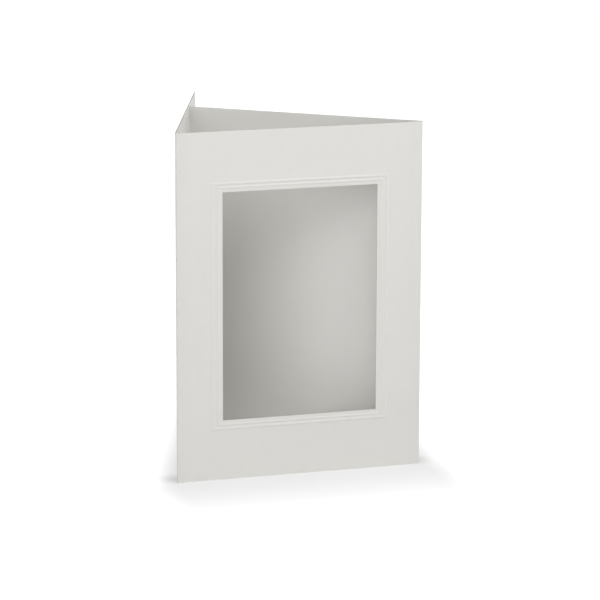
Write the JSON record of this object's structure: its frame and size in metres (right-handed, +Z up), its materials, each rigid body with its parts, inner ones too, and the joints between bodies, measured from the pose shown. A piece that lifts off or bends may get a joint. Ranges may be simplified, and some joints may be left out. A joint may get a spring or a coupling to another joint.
{
  "type": "passe-partout card",
  "caption": "Folded card of three panels standing as an open triangle, with a rectangular window and raised lines round it in the front panel.",
  "frame": {"origin": "middle of the card's outline in plan, on the surface it stands on", "axes": "+Z up along the folds, the front panel's window looks along -Y, the back panel is joined to the front panel by the fold on the -X side and the flap by the fold on the +X side"},
  "size_m": [0.121, 0.1146, 0.168],
  "materials": {
    "card": "uncoated matt card, off-white"
  },
  "bodies": {
    "root": {"folded_card": "card"}
  },
  "joints": []
}
